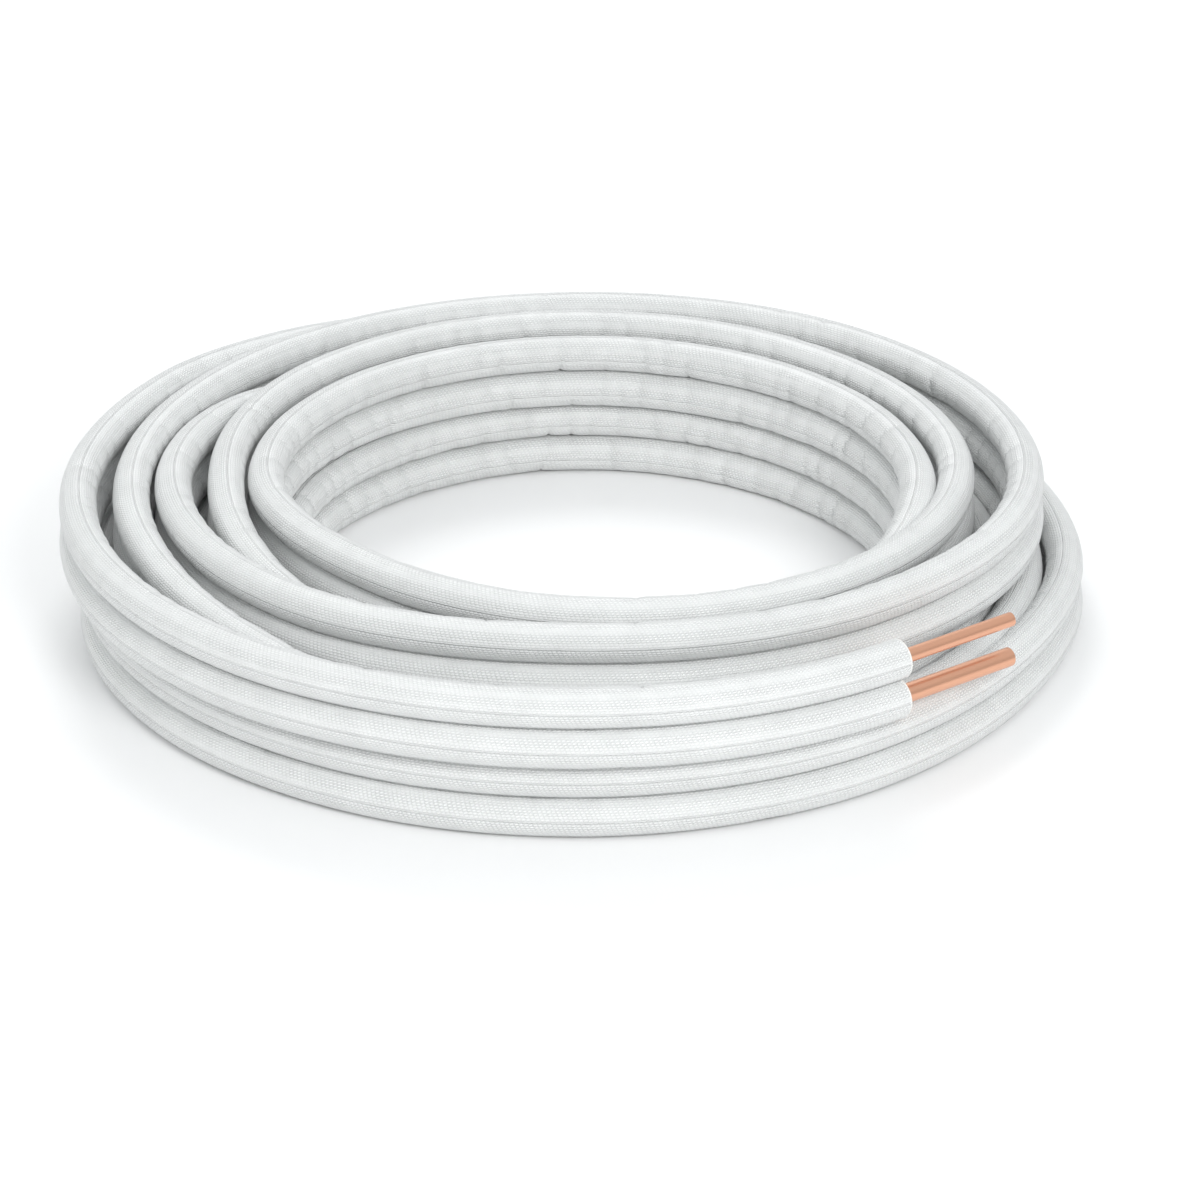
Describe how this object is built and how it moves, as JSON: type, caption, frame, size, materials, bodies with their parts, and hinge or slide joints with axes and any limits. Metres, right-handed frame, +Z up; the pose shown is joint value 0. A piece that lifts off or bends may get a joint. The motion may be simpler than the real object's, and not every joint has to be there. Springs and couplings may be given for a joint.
{
  "type": "mini split line set",
  "caption": "Coil of two insulated copper refrigerant lines bonded as a pair, with bare copper at both ends, for joining the two halves of a mini split.",
  "frame": {"origin": "middle of the coil's footprint, on the floor that it lies on", "axes": "+Z up along the coil's axis; -Y is the side that the bare outer ends are nearest, +X to the right of it"},
  "size_m": [0.714, 0.714, 0.1083],
  "materials": {
    "white_foam_skin": "embossed white polyethylene skin on closed-cell foam",
    "bright_copper": null
  },
  "bodies": {
    "root": {"twin_line_insulation": "white_foam_skin", "liquid_line_outer_end": "bright_copper", "suction_line_outer_end": "bright_copper", "liquid_line_inner_end": "bright_copper", "suction_line_inner_end": "bright_copper"}
  },
  "joints": []
}
